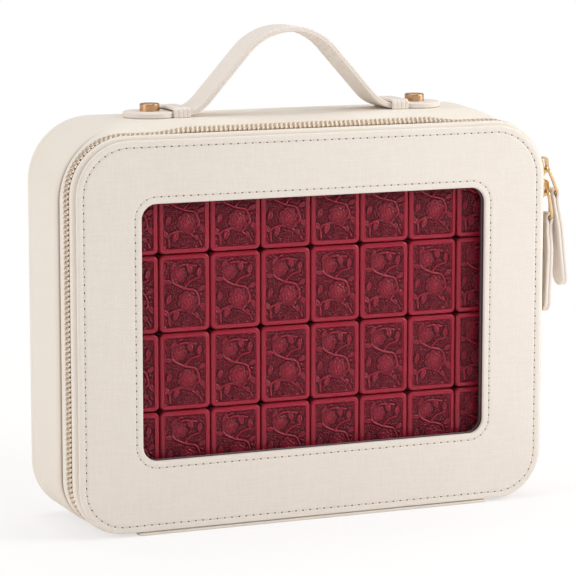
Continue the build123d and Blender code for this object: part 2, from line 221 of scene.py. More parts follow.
paper = bpy.data.materials.new("whiteStudioPaper")  # matt paper roll: no gloss, takes a soft shadow
tree = emptyTree(paper)
matt = addNode(tree, "BsdfDiffuse", {"Color": "#fffcfb", "Roughness": 0.5})
where = addNode(tree, "TexCoord").outputs["Object"]
away = addNode(tree, "VectorMath", {"operation": "LENGTH"}, {0: where}).outputs["Value"]
near, far = studio["floorFade"]
fade = addNode(tree, "MapRange", {
    "interpolation_type": "SMOOTHSTEP", "From Min": near, "From Max": far, "To Min": studio["floorGlow"],
}, {"Value": away})
share = addNode(tree, "Math", {"operation": "MULTIPLY"}, {0: cameraWhite(tree), 1: fade})
glow = addNode(tree, "Emission", {"Color": "#ffffff", "Strength": 1.0})
both = addNode(tree, "MixShader", links={0: share, 1: matt, 2: glow})
addNode(tree, "OutputMaterial", links={"Surface": both})
half = studio["floorHalf"]
corners = [(-half, -half, 0), (half, -half, 0), (half, half, 0), (-half, half, 0)]
floor = makeMesh("floor", corners, [(0, 1, 2, 3)], paper, tidy=False)

for name, (place, size, watts) in studio["lamps"].items():
    lamp = bpy.data.objects.new(name, bpy.data.lights.new(name, "AREA"))
    bpy.context.scene.collection.objects.link(lamp)
    lamp.data.shape = "DISK"
    lamp.data.size = size
    lamp.data.energy = watts
    lamp.location = place
    lamp.rotation_euler = (Vector(studio["aim"]) - Vector(place)).to_track_quat("-Z", "Y").to_euler()
print("camera and studio")


# materials: every pattern is scaled in mm

def startMaterial(name):
    # an empty material, and the piece's own coordinates in mm
    material = bpy.data.materials.new(name)
    tree = emptyTree(material)
    place = addNode(tree, "TexCoord").outputs["Object"]
    return material, tree, addNode(tree, "Mapping", {"Scale": (1000, 1000, 1000)}, {"Vector": place})


def finishMaterial(tree, shader, links, height, depth):
    # the shader with its settings and links; depth is how high the pattern stands, in mm
    if depth:
        bump = addNode(tree, "Bump", {"Strength": 1.0, "Distance": depth * mm}, {"Height": height})
        links = {**links, "Normal": bump}
    surface = addNode(tree, "BsdfPrincipled", shader, links)
    addNode(tree, "OutputMaterial", links={"Surface": surface})


def leather(name, look):
    # coated leather: pebble grain pressed in the coat, tone that drifts slowly, darker between the pebbles
    material, tree, inMm = startMaterial(name)
    size = look["grain"]
    drift = addNode(tree, "TexNoise", {"Scale": 1 / 38}, {"Vector": inMm})  # patches of about 38 mm
    pebbleTones = {"data_type": "RGBA", 6: look["colour"], 7: look["shade"]}
    tone = addNode(tree, "Mix", pebbleTones, {0: drift}).outputs[2]
    bend = addNode(tree, "TexNoise", {"Scale": 1 / (2.5 * size), "Detail": 1.0}, {"Vector": inMm}).outputs[1]
    bent = addNode(tree, "VectorMath", {"operation": "MULTIPLY_ADD", 1: (size,) * 3}, {0: bend, 2: inMm})
    cells = {"feature": "SMOOTH_F1", "Scale": 1 / size, "Smoothness": 0.4}
    pebble = addNode(tree, "TexVoronoi", cells, {"Vector": bent})
    fine = addNode(tree, "TexNoise", {"Scale": 1 / (0.45 * size), "Detail": 3.0}, {"Vector": inMm})
    grain = addNode(tree, "Math", {"operation": "MULTIPLY_ADD", 1: 0.55}, {0: fine, 2: pebble})
    height = grain
    tints = []  # what share of which colour lies over the tone
    if "linen" in look:
        wide, long = 1 / look["linen"], 1 / (14 * look["linen"])  # a thread shows for 14 times its width
        threads = []
        for stretch in ((wide, 1.0, long), (long, 1.0, wide)):
            lined = addNode(tree, "Mapping", {"Scale": stretch}, {"Vector": inMm})
            threads.append(addNode(tree, "TexNoise", {"Scale": 1.0, "Detail": 1.5}, {"Vector": lined}))
        weave = addNode(tree, "Math", {"operation": "ADD"}, {0: threads[0], 1: threads[1]})
        raised = {"operation": "MULTIPLY_ADD", 1: look["linenShare"]}
        height = addNode(tree, "Math", raised, {0: weave, 2: grain})
        raisedThreads = {"From Min": 0.75, "From Max": 1.25, "To Max": 0.35}
        tints.append((addNode(tree, "MapRange", raisedThreads, {"Value": weave}), look["thread"]))
    # painted shade: the shell's crease behind the zip is darkened by the share in the piece's attribute
    if "fold" in look:
        tints.append((addNode(tree, "Attribute", {"attribute_name": "reliefShade"}).outputs["Fac"], look["fold"]))
    hollows = {"From Min": 0.2, "From Max": 0.75, "To Max": look["hollow"]}
    tints.append((addNode(tree, "MapRange", hollows, {"Value": pebble}), look["crease"]))
    for share, colour in tints:
        tone = addNode(tree, "Mix", {"data_type": "RGBA", 7: colour}, {0: share, 6: tone}).outputs[2]
    spread = {"From Max": 1.3, "To Min": look["rough"] - 0.06, "To Max": look["rough"] + 0.08}
    rough = addNode(tree, "MapRange", spread, {"Value": grain})
    shader = {"IOR": 1.47, "Sheen Weight": 0.05}
    finishMaterial(tree, shader, {"Base Color": tone, "Roughness": rough}, height, look["depth"])
    return material


fineGrain = {
    "colour": "#eee6db", "shade": "#e9dfd2", "crease": "#dccfbf",
    "grain": 0.5, "hollow": 0.12, "rough": 0.52, "depth": 0.028,
}
leatherLooks = {
    # front panel: cream polyurethane leather embossed with a linen cross grain
    "linenGrainLeather": {
        "colour": "#ece4da", "shade": "#e6ddd2", "crease": "#d8cdc0",
        "grain": 0.55, "hollow": 0.16, "rough": 0.56, "depth": 0.035,
        "thread": "#f4eee6", "linen": 0.55, "linenShare": 0.5,
    },
    # sides and back: the same leather with a smooth fine grain
    "fineGrainLeather": fineGrain,
    # rear shell: the fine grain again, with painted shade darkening the crease behind the zip
    "foldedGrainLeather": {**fineGrain, "fold": "#7f6547"},
    # handle, keepers and pulls: a denser strap leather, a touch pinker
    "strapLeather": {
        "colour": "#ede4db", "shade": "#e7dcd1", "crease": "#ddd1c4",
        "grain": 0.5, "hollow": 0.07, "rough": 0.55, "depth": 0.004,
    },
}
leathers = {name: leather(name, look) for name, look in leatherLooks.items()}


def cloth(name, look):
    # woven or knitted cloth: two crossed sets of threads, each a row of rounded bars, under a little fuzz
    material, tree, inMm = startMaterial(name)
    bars = []
    for axis in look["axes"]:
        turned = addNode(tree, "Mapping", {"Rotation": axis}, {"Vector": inMm})
        ribs = {"Scale": math.tau / 20 / look["thread"], "Distortion": 0.6, "Detail": 1.0}
        bars.append(addNode(tree, "TexWave", ribs, {"Vector": turned}).outputs[1])
    weave = addNode(tree, "Math", {"operation": "MAXIMUM"}, {0: bars[0], 1: bars[1]})
    fuzz = addNode(tree, "TexNoise", {"Scale": 4.0, "Detail": 3.0}, {"Vector": inMm})
    mixed = addNode(tree, "Math", {"operation": "MULTIPLY_ADD", 1: 0.5}, {0: fuzz, 2: weave})
    share = addNode(tree, "MapRange", {"From Max": 1.4}, {"Value": mixed})
    tone = addNode(tree, "Mix", {"data_type": "RGBA", 6: look["low"], 7: look["high"]}, {0: share}).outputs[2]
    shader = {"Roughness": look["rough"], "Sheen Weight": look["sheen"]}
    finishMaterial(tree, shader, {"Base Color": tone}, mixed, look["depth"])
    return material


lyingFlat = ((0, 0, 0), (0, math.pi / 2, 0))
slanting = ((0, 0, 0.8), (0, 0.8, 0))
clothLooks = {
    # zip tape: polyester twill, 0.5 mm ribs
    "polyesterTape": {
        "axes": slanting, "thread": 0.5, "low": "#d2c4ae", "high": "#efe5d5",
        "rough": 0.8, "sheen": 0.1, "depth": 0.06,
    },
    # lining: beige microfibre suede cloth
    "suedeLining": {
        "axes": lyingFlat, "thread": 0.6, "low": "#cbbfae", "high": "#ddd3c4",
        "rough": 0.9, "sheen": 0.4, "depth": 0.03,
    },
    # tape and facing round the inside of the window: fine ribbed cloth, dark wine, partly the cloth's own
    # colour and partly painted shade on the window's wall
    "windowShadeCloth": {
        "axes": lyingFlat, "thread": 0.4, "low": "#2c0e18", "high": "#4d1a28",
        "rough": 0.8, "sheen": 0.2, "depth": 0.03,
    },
    # foam collar: flocked, dark wine
    "flockedFoam": {
        "axes": lyingFlat, "thread": 0.9, "low": "#2a1518", "high": "#45262b",
        "rough": 0.95, "sheen": 0.6, "depth": 0.05,
    },
}
cloths = {name: cloth(name, look) for name, look in clothLooks.items()}


def metal(name, look):
    # plated metal, tumbled and polished: fine brushed lines and a few duller patches
    material, tree, inMm = startMaterial(name)
    lined = addNode(tree, "Mapping", {"Scale": look["lines"]}, {"Vector": inMm})
    brushed = addNode(tree, "TexNoise", {"Scale": 4.0}, {"Vector": lined})
    dull = addNode(tree, "TexNoise", {"Scale": 0.35}, {"Vector": inMm})
    tones = {"data_type": "RGBA", 6: look["colour"], 7: look["dull"]}
    tone = addNode(tree, "Mix", tones, {0: dull}).outputs[2]
    both = addNode(tree, "Math", {"operation": "ADD"}, {0: brushed, 1: dull})
    spread = {"From Max": 2.0, "To Min": look["rough"] - 0.07, "To Max": look["rough"] + 0.1}
    rough = addNode(tree, "MapRange", spread, {"Value": both})
    finishMaterial(tree, {"Metallic": 1.0}, {"Base Color": tone, "Roughness": rough}, brushed, 0.004)
    return material


metalLooks = {
    # teeth: zinc plated pale gold
    "goldZipTeeth": {"colour": "#ecddce", "dull": "#dbc8ae", "rough": 0.42, "lines": (1, 1, 1)},
    # sliders and rings: cast zinc, polished, light gold plate
    "lightGoldPlate": {"colour": "#f0d3a6", "dull": "#dcb684", "rough": 0.2, "lines": (1, 1, 1)},
    # studs: turned brass with a copper tone, lathe rings round the head
    "turnedCopperBrass": {"colour": "#cda682", "dull": "#b58b66", "rough": 0.28, "lines": (1, 1, 6)},
    # washers and screws: steel, nickel plated
    "nickelSteel": {"colour": "#c2bfb8", "dull": "#a5a29b", "rough": 0.35, "lines": (1, 1, 1)},
}
metals = {name: metal(name, look) for name, look in metalLooks.items()}


def fibrous(name, look):
    # one pattern that shifts the tone between two colours and stands proud by its depth
    material, tree, inMm = startMaterial(name)
    kind, settings, output = look["pattern"]
    pattern = addNode(tree, kind, settings, {"Vector": inMm}).outputs[output]
    tones = {"data_type": "RGBA", 6: look["low"], 7: look["high"]}
    tone = addNode(tree, "Mix", tones, {0: pattern}).outputs[2]
    finishMaterial(tree, look["shader"], {"Base Color": tone}, pattern, look["depth"])
    return material


strands = {"Scale": 1.1, "bands_direction": "DIAGONAL", "Distortion": 0.4}
fibreLooks = {
    # pressed paper board: fibres and flecks
    "pressedGreyBoard": {
        "pattern": ("TexNoise", {"Scale": 1.2, "Detail": 6.0}, 0), "low": "#8d867b", "high": "#a9a296",
        "shader": {"Roughness": 0.9}, "depth": 0.05,
    },
    # polyester sewing thread, twisted from three strands
    "polyesterThread": {
        "pattern": ("TexWave", strands, 1), "low": "#d6cbbc", "high": "#ece4d9",
        "shader": {"Roughness": 0.6, "Sheen Weight": 0.2}, "depth": 0.05,
    },
    # the dark inside of a needle hole
    "needleHoleShadow": {
        "pattern": ("TexNoise", {"Scale": 3.0}, 0), "low": "#4a3a2e", "high": "#665342",
        "shader": {"Roughness": 0.95, "Specular IOR Level": 0.1}, "depth": 0.0,
    },
}
board, sewing, holeDark = [fibrous(name, look) for name, look in fibreLooks.items()]


def clearSheet():
    # clear vinyl sheet: almost unseen, a faint gloss, slow waves from rolling
    material, tree, inMm = startMaterial("clearVinylSheet")
    waves = addNode(tree, "TexNoise", {"Scale": 1 / 45, "Detail": 1.0}, {"Vector": inMm})
    shader = {"Base Color": "#34383c", "Roughness": 0.06, "IOR": 1.53, "Alpha": 0.02}
    finishMaterial(tree, shader, {}, waves, 0.6)
    return material


def tileResin():
    # cast melamine resin, pressed in a carved mould: glossy rims; the hollows of the carving are painted
    # darker as shade and reflect less
    material, tree, inMm = startMaterial("crimsonTileResin")
    reliefShade = addNode(tree, "Attribute", {"attribute_name": "reliefShade"}).outputs["Fac"]
    cloudy = addNode(tree, "TexNoise", {"Scale": 1 / 6, "Detail": 3.0}, {"Vector": inMm})
    pores = addNode(tree, "TexNoise", {"Scale": 3.0}, {"Vector": inMm})
    rim = addNode(tree, "Mix", {"data_type": "RGBA", 6: "#911428", 7: "#a42137"}, {0: cloudy}).outputs[2]
    raised = {"From Min": 0.08, "From Max": 0.85, "interpolation_type": "SMOOTHSTEP"}
    share = addNode(tree, "MapRange", raised, {"Value": reliefShade})
    # painted shade: the deep carving takes the dark colour, the raised parts the rim colour
    tone = addNode(tree, "Mix", {"data_type": "RGBA", 6: "#500a1c"}, {0: share, 7: rim}).outputs[2]
    rough = addNode(tree, "MapRange", {"To Min": 0.36, "To Max": 0.2}, {"Value": reliefShade})
    # painted shade on reflections: the hollows reflect less
    shine = addNode(tree, "MapRange", {"To Min": 0.25, "To Max": 0.55}, {"Value": share})
    links = {"Base Color": tone, "Roughness": rough, "Specular IOR Level": shine}
    finishMaterial(tree, {"IOR": 1.5, "Specular Tint": "#ffced3"}, links, pores, 0.004)
    return material


sheet, resin = clearSheet(), tileResin()
print("materials")


# outlines of the case

case = {
    "half": 107.0, "bottom": 1.2, "top": 164.8, "topRadius": 25.0, "bottomRadius": 22.0,
    "front": -28.35, "back": 28.35, "zip": -20.1, "lidBandFront": -26.55, "lidBandBack": -23.5,
    "shellFront": -16.7, "shoulder": -5.5, "seam": 21.35, "crown": 3.5, "edgeStep": 0.6,
    "sideSwell": 0.9, "crownSoftness": 7.0, "backRadius": 4.5, "leather": 1.4,
    "panelStep": 2.4, "panelLift": 0.3,
    "steps": (22, 30, 20),  # points along a corner, a side and half an end
    "fineSteps": (60, 30, 20),  # the same, where stitches or teeth follow the corners
}
shell = {
    "lipRadius": 0.68, "seamRadius": 0.5, "crease": -10.9, "creaseDepth": 0.75, "creaseWidth": 0.55,
    "foldWidth": 0.65, "shadeFadeShare": 0.2, "shadeFadeWidth": 2.5,  # painted shade: the darker line in the crease, fading behind it
    # rows along the depth: from the lip to a place, two stretches, and from a place to the seam
    "lipRows": (-12.8, 5), "creaseRows": (-12.4, -9.4, 13), "swellRows": (-8.9, -4.0, 9), "flatRows": (-2, 9),
    "rowGaps": (0.3, 0.4),  # behind the lip's arc and before the seam's
    "insideRow": 8.0,
    "backRows": 8,
    "backTuck": 0.999,  # the inner rows of the back end just inside its first row
}


def roundedRing(half, low, high, lowRadius, highRadius, steps=None):
    # rounded rectangles, one per row, from the middle of the bottom edge to the right and round: even
    # straight runs, each ending where the arc of a corner starts, with as many points in every row
    cornerSteps, sideSteps, endSteps = steps or case["steps"]
    given = [np.atleast_1d(np.asarray(v, float)) for v in (half, low, high, lowRadius, highRadius)]
    half, low, high, lowR, highR = [v[:, None] for v in np.broadcast_arrays(*given)]
    none = 0 * half
    # for each straight run: its number of points, its outward normal, and the middle and radius of the arc
    # that follows it
    runs = [
        (endSteps, (0, -1), half - lowR, low + lowR, lowR),
        (sideSteps, (1, 0), half - highR, high - highR, highR),
        (2 * endSteps, (0, 1), highR - half, high - highR, highR),
        (sideSteps, (-1, 0), lowR - half, low + lowR, lowR),
        (endSteps, (0, -1), none, low, none),
    ]
    quarter = np.linspace(0, np.pi / 2, cornerSteps, endpoint=False)[None, :]
    x, z, nx, nz = [], [], [], []
    startX, startZ = none, low
    for number, (count, (outX, outZ), middleX, middleZ, radius) in enumerate(runs):
        along = np.linspace(0, 1, count, endpoint=False)[None, :]
        stopX, stopZ = middleX + radius * outX, middleZ + radius * outZ
        turn = quarter + (number - 1) * np.pi / 2
        x += [startX + (stopX - startX) * along, middleX + radius * np.cos(turn)]
        z += [startZ + (stopZ - startZ) * along, middleZ + radius * np.sin(turn)]
        nx += [none + outX + 0 * along, none + np.cos(turn)]
        nz += [none + outZ + 0 * along, none + np.sin(turn)]
        startX, startZ = middleX - radius * outZ, middleZ + radius * outX
    return [np.concatenate(rows[:-1], 1) for rows in (x, z, nx, nz)]


def caseRing(inset, narrow=0.0, rise=0.0, soften=0.0, steps=None):
    # outline of the case, inset all round, narrower except at the bottom, with its top raised
    given = [np.atleast_1d(np.asarray(v, float)) for v in (inset, narrow, rise, soften)]
    inset, narrow, rise, soften = np.broadcast_arrays(*given)
    less = inset + narrow
    lowRadius = np.maximum(case["bottomRadius"] - less, 0.3)
    highRadius = np.maximum(case["topRadius"] - less + soften, 0.3)
    low, high = case["bottom"] + inset, case["top"] - less + rise
    return roundedRing(case["half"] - less, low, high, lowRadius, highRadius, steps)


def panelRing(inset, steps=None):
    # outline of the front panel, which lies a little inside the outline of the case
    lift = case["panelLift"]
    return caseRing(np.asarray(inset, float) + lift, case["panelStep"] - lift, steps=steps)


def atSides(nx):
    # 1 on the upright sides, fading round the corners to 0 over the top and bottom
    return np.clip(1.6 * np.abs(nx) - 0.6, 0, 1)


def shellRing(inset, y):
    # outline of the rear shell at depth y: the top swells up evenly from the lip to the shoulder; the sides
    # keep level behind the zip, dip into a crease and bulge out of it
    y = np.asarray(y, float)
    lip, shoulder, crease = case["shellFront"], case["shoulder"], shell["crease"]
    upTop = np.sin(np.clip((y - lip) / (shoulder - lip), 0, 1) * np.pi / 2)
    upSide = np.sin(np.clip((y - crease) / (shoulder + 1.5 - crease), 0, 1) * np.pi / 2)
    away = np.clip((y - shoulder) / (case["back"] - shoulder), 0, 1)
    narrow = case["edgeStep"] * (1 - upSide) - case["sideSwell"] * upSide
    sink = case["edgeStep"] * (1 - upTop)
    rise = narrow - sink + case["crown"] * upTop
    soften = narrow - sink + (case["sideSwell"] + case["crownSoftness"] * (1 - away)) * upTop
    x, z, nx, nz = caseRing(inset, narrow, rise, soften)
    dip = shell["creaseDepth"] * np.exp(-((y - crease) / shell["creaseWidth"]) ** 2)
    dip = np.atleast_1d(dip)[:, None] * atSides(nx)
    return x - nx * dip, z - nz * dip, nx, nz


def ringSurface(name, x, z, y, material, reliefShades=None):
    # rows of outlines joined into one surface; row r lies at depth y[r]
    points = np.stack([x, np.broadcast_to(np.asarray(y, float)[:, None], x.shape), z], -1)
    length = np.concatenate([[0], np.cumsum(np.hypot(np.diff(x[0]), np.diff(z[0])))])
    uv = np.stack([np.broadcast_to(length, x.shape), points[..., 1]], -1)
    return makeMesh(name, points, gridFaces(*x.shape, wrapRows=True, wrapColumns=True), material, uv, reliefShades)


# front panel: turned edge, two sunk seams and a window with its leather folded back over the board

panel = {
    "edgeRadius": 0.8, "backRadius": 0.3, "turnIn": 3.0,
    "seamInset": 2.85, "seamSink": 0.2, "seamWidth": 0.55,
    "windowSeam": 2.75, "windowRadius": 0.7, "foldIn": 0.12, "foldRow": -26.0, "foldBack": -24.98,
    "foldGap": 0.02,  # between the folded leather and the board
    "faceGap": (0.3, 0.2),  # from the rounded outer edge and the window's edge to the first row of the face
    "windowHalf": 77.2, "windowLow": 30.7, "windowHigh": 136.6, "windowCorner": 6.5,
    "outerField": (8.5, 28), "innerField": (7.5, 20),  # width of the fine rows at each seam, and their number
    "plainRows": 9,
    # dark cloth band round the inside of the window, over its wall, put there as painted shade, as (growth,
    # depth)
    "shadeLiner": ((-0.2, -27.4), (-0.2, -25.0), (-0.05, -25.0), (-0.05, -27.4)),
}


def windowRing(grow):
    # outline of the window, grown all round
    grow = np.atleast_1d(np.asarray(grow, float))
    radius = panel["windowCorner"] + grow
    low, high = panel["windowLow"] - grow, panel["windowHigh"] + grow
    return roundedRing(panel["windowHalf"] + grow, low, high, radius, radius)


def seamDip(distance):
    # how far the thread pulls the leather in at a distance from the seam: a bell curve
    return panel["seamSink"] * np.exp(-(distance / panel["seamWidth"]) ** 2)


def makeFrontPanel():
    # profile from the panel's back, round its outer edge, over the face and into the window, as (inset or
    # growth, depth)
    front, back, outer, lip = case["front"], case["lidBandFront"], panel["edgeRadius"], panel["windowRadius"]
    turnIn, hem, foldIn, foldBack = panel["turnIn"], panel["backRadius"], panel["foldIn"], panel["foldBack"]
    outerGap, lipGap = panel["faceGap"]
    foldRow, gap = panel["foldRow"], panel["foldGap"]
    face = np.linspace(outer + outerGap, *panel["outerField"])
    edge = np.concatenate([
        [(turnIn, back)],
        arc((hem, back - hem), hem, 90, 180, 4),
        arc((outer, front + outer), outer, 180, 270, 8),
        np.stack([face, front + seamDip(face - panel["seamInset"])], 1),
    ])
    width, count = panel["innerField"]
    inner = np.linspace(width, lip + lipGap, count)
    inward = np.concatenate([
        np.stack([inner, front + seamDip(inner - panel["windowSeam"])], 1),
        arc((lip - foldIn, front + lip), lip, 270, 180, 6),
        [(-foldIn, foldRow), (-foldIn, foldBack), (gap, foldBack), (gap, back), (turnIn, back)],
    ])
    xOuter, zOuter, _, _ = panelRing(edge[:, 0])
    xInner, zInner, _, _ = windowRing(inward[:, 0])
    mix = np.linspace(0, 1, panel["plainRows"])[1:-1, None]  # the plain field between the seams
    x = np.concatenate([xOuter, xOuter[-1] * (1 - mix) + xInner[0] * mix, xInner])
    z = np.concatenate([zOuter, zOuter[-1] * (1 - mix) + zInner[0] * mix, zInner])
    depth = np.concatenate([edge[:, 1], np.full(len(mix), front), inward[:, 1]])
    return ringSurface("frontPanel", x, z, depth, leathers["linenGrainLeather"])


ride(makeFrontPanel(), "lid", "cream_leather", "front_panel")

# painted shade: a dark band over the wall of the window
shadeLiner = np.array(panel["shadeLiner"])
x, z, _, _ = windowRing(shadeLiner[:, 0])
ride(ringSurface("windowShadeLiner", x, z, shadeLiner[:, 1], cloths["windowShadeCloth"]), "lid", "lining_cloth")
print("front panel")


# leather bands beside the zip, and the rear shell

band = {"turnIn": 4.0, "flat": 2.4, "frontRadius": 1.2, "backRadius": 0.6, "gap": 0.02}


def makeLidBand():
    # closed profile of the band in (inset, depth), its outer corners rounded and its front turned in behind
    # the panel
    front, back, thick = case["lidBandFront"] + band["gap"], case["lidBandBack"], case["leather"]
    turnIn, bold, slight = band["turnIn"], band["frontRadius"], band["backRadius"]
    rows = np.concatenate([
        [(turnIn, front), (band["flat"], front)],
        arc((bold, front + bold), bold, 270, 180, 9),
        arc((slight, back - slight), slight, 180, 90, 7),
        [(thick, back), (thick, front + thick), (turnIn, front + thick)],
    ])
    x, z, _, _ = caseRing(rows[:, 0], narrow=case["edgeStep"])
    return ringSurface("lidSideBand", x, z, rows[:, 1], leathers["fineGrainLeather"])


ride(makeLidBand(), "lid", "cream_leather", "lid_gusset")


def makeShell():
    # from the inner wall round the turned lip, back over the swollen side to the seam, and back inside
    front, seam, thick = case["shellFront"], case["seam"], case["leather"]
    lip, hem = shell["lipRadius"], shell["seamRadius"]
    lipGap, seamGap = shell["rowGaps"]
    flatStart, flatCount = shell["flatRows"]
    along = np.concatenate([
        np.linspace(front + lip + lipGap, *shell["lipRows"]),
        np.linspace(*shell["creaseRows"]),
        np.linspace(*shell["swellRows"]),
        np.linspace(flatStart, seam - hem - seamGap, flatCount),
    ])
    rows = np.concatenate([
        [(thick, front + lipGap)],
        arc((lip, front + lip), lip, 270, 180, 7),
        np.stack([np.zeros(len(along)), along], 1),
        arc((hem, seam - hem), hem, 180, 90, 5),
        [(thick, seam), (thick, shell["insideRow"]), (thick, case["shoulder"])],
    ])
    x, z, nx, _ = shellRing(rows[:, 0], rows[:, 1])
    # painted shade on the sides: dark along the crease and fading behind it, kept per point for the material
    behind = rows[:, 1] - shell["crease"]
    fadingShade = np.where(behind > 0, shell["shadeFadeShare"] * np.exp(-(behind / shell["shadeFadeWidth"]) ** 2), 0)
    fold = np.clip(np.exp(-(behind / shell["foldWidth"]) ** 2) + fadingShade, 0, 1)[:, None] * atSides(nx)
    return ringSurface("sideLeather", x, z, rows[:, 1], leathers["foldedGrainLeather"], fold)


def makeBack():
    # from the seam round the soft rear edge, then rows that shrink to the middle of the back, and inside it
    # rows that grow again
    seam, back, thick = case["seam"], case["back"], case["leather"]
    soft, hem = case["backRadius"], shell["seamRadius"]
    rows = np.concatenate([
        [(thick, seam)],
        arc((hem, seam + hem), hem, 270, 180, 5),
        arc((soft, back - soft), soft, 180, 90, 12),
    ])
    x, z, _, _ = shellRing(rows[:, 0], rows[:, 1])
    middle = (case["bottom"] + case["top"]) / 2
    shrink = np.linspace(1, 0, shell["backRows"])[1:, None]
    x = np.concatenate([x, x[-1] * shrink, x[:1] * shrink[::-1] * shell["backTuck"]])
    z = np.concatenate([z, middle + (z[-1] - middle) * shrink, middle + (z[0] - middle) * shrink[::-1]])
    y = np.concatenate([rows[:, 1], np.full(len(shrink), back), np.full(len(shrink), back - thick)])
    return ringSurface("backLeather", x, z, y, leathers["fineGrainLeather"])


ride(makeShell(), "case", "cream_leather", "case_gusset")
ride(makeBack(), "case", "cream_leather", "back_panel")
print("bands and shell")


# patterns that repeat along an outline

def alongRing(ring, start, stop, pitch):
    # evenly spaced places on an outline, measured from the middle of its bottom edge: point, direction and
    # outward normal
    x, z, nx, nz = [np.append(rows[0], rows[0][0]) for rows in ring]
    length = np.concatenate([[0], np.cumsum(np.hypot(np.diff(x), np.diff(z)))])
    if stop <= 0:
        stop += length[-1]
    count = int(round((stop - start) / pitch))
    at = start + (np.arange(count) + 0.5) * (stop - start) / count
    flat = np.zeros(count)
    out = unit(np.stack([np.interp(at, length, nx), flat, np.interp(at, length, nz)], -1))
    onward = np.stack([-out[:, 2], flat, out[:, 0]], -1)
    return np.stack([np.interp(at, length, x), flat, np.interp(at, length, z)], -1), onward, out


def repeated(name, sections, places, axes, material):
    # one small shape at many places: rings of points in (along, across, out), joined and capped
    count, around = sections.shape[:2]
    flat = sections.reshape(-1, 3)
    quads = np.array(gridFaces(count, around, wrapColumns=True))
    caps = np.stack([np.arange(around)[::-1], np.arange(around) + (count - 1) * around])
    points = places[:, None, :] + sum(flat[None, :, i, None] * axes[i][:, None, :] for i in range(3))
    faces = []
    for first in np.arange(len(places)) * len(flat):
        faces += (quads + first).tolist() + (caps + first).tolist()
    return makeMesh(name, points, faces, material, tidy=False)


zipLook = {
    "pitch": 2.07, "end": 75.0,
    # place across the zip, half width along it, half height: root, leg, neck, head
    "tooth": (
        (-3.0, 0.45, 0.5), (-2.85, 0.7, 0.82), (-0.95, 0.7, 0.9), (-0.55, 0.5, 0.62),
        (0.4, 0.48, 0.52), (0.9, 0.4, 0.45), (1.05, 0.15, 0.3),
    ),
    "square": 3.2,  # power of the superellipse that a tooth's section is
    "around": 8,
    "middleInset": 1.1,
    # over the top, between these distances from the middle, the chain comes to lean forward and stand higher
    "topReach": (52.0, 70.0), "topLean": 14.0, "topRise": 1.1,
}


def makeTeeth(name, body, node, side):
    # a tooth is a bar of superellipse sections; the rows of lid and case face each other, half a pitch apart
    turn = np.arange(zipLook["around"]) * math.tau / zipLook["around"]
    c, s = np.cos(turn), np.sin(turn)
    power = 2 / zipLook["square"]
    place, halfWidth, halfHeight = np.array(zipLook["tooth"]).T[:, :, None]
    wide, high = halfWidth * np.sign(c) * np.abs(c) ** power, halfHeight * np.sign(s) * np.abs(s) ** power
    sections = np.stack(np.broadcast_arrays(wide, -side * place, high), -1)
    if side > 0:
        sections = sections[:, ::-1]
    shift = 0.0 if side < 0 else zipLook["pitch"] / 2
    ring = caseRing(zipLook["middleInset"], steps=case["fineSteps"])
    start, stop = zipLook["end"] + shift, -zipLook["end"] + shift - 0.001
    places, onward, out = alongRing(ring, start, stop, zipLook["pitch"])
    places[:, 1] = case["zip"]
    near, far = zipLook["topReach"]
    onTop = smooth(np.clip((far - np.abs(places[:, :1])) / (far - near), 0, 1) * (out[:, 2:] > 0.5))
    places = places + out * onTop * zipLook["topRise"]
    lean = np.radians(zipLook["topLean"]) * onTop
    back = np.array([[0.0, 1.0, 0.0]])
    across, out = back * np.cos(lean) + out * np.sin(lean), out * np.cos(lean) - back * np.sin(lean)
    piece = repeated(name, sections, places, (onward, across, out), metals["goldZipTeeth"])
    return ride(piece, body, "zip_metal", node)


makeTeeth("lidTeeth", "lid", "zip_chain_lid", -1)
makeTeeth("caseTeeth", "case", "zip_chain_case", 1)

sewingLook = {
    "pitch": 3.2, "gap": 1.15, "hole": (0.45, 0.38), "threadHalf": 0.27, "threadRise": 0.1, "sink": 0.06,
    "flatness": 0.7, "endPower": 3.0, "around": 8, "stations": 7,
    "holeRings": ((1.0, -0.1), (0.92, 0.012), (0.3, 0.012)),  # share of the hole's size, level
    "lift": 0.03,  # above the bottom of the dip
}


def makeSeam(name, body, ring, depth):
    # a row of stitches: a thread between two needle holes, pulled down into the leather at both ends
    places, onward, out = alongRing(ring, 0.0, 0.0, sewingLook["pitch"])
    places[:, 1] = depth
    axes = (onward, out, np.broadcast_to(np.array([0.0, -1.0, 0.0]), out.shape))
    turn = np.arange(sewingLook["around"]) * math.tau / sewingLook["around"]
    t = np.linspace(-1, 1, sewingLook["stations"])[:, None]
    half = (sewingLook["pitch"] - sewingLook["gap"]) / 2
    thick = np.sqrt(np.clip(1 - np.abs(t) ** sewingLook["endPower"], 0.02, 1)) * sewingLook["threadHalf"]
    proud = sewingLook["threadRise"] * (1 - t ** 2) - sewingLook["sink"]
    bow = np.sin(turn) * thick * sewingLook["flatness"] + proud
    sections = np.stack(np.broadcast_arrays(t * half, np.cos(turn) * thick, bow), -1)
    ride(repeated(name + "Stitches", sections, places, axes, sewing), body, "cream_leather")
    long, wide = sewingLook["hole"]
    share, level = np.array(sewingLook["holeRings"]).T[:, :, None]
    rim = np.stack(np.broadcast_arrays(np.cos(turn) * long * share, np.sin(turn) * wide * share, level), -1)
    between = places + onward * (sewingLook["pitch"] / 2)
    ride(repeated(name + "Holes", rim, between, axes, holeDark), body, "cream_leather")


seamDepth = case["front"] + panel["seamSink"] - sewingLook["lift"]
makeSeam("outerSeam", "lid", panelRing(panel["seamInset"], steps=case["fineSteps"]), seamDepth)
makeSeam("windowSeam", "lid", windowRing(panel["windowSeam"]), seamDepth)
print("zip teeth and seams")


# tiles: a smooth rounded rim round a carved field of blossoms and scrolls

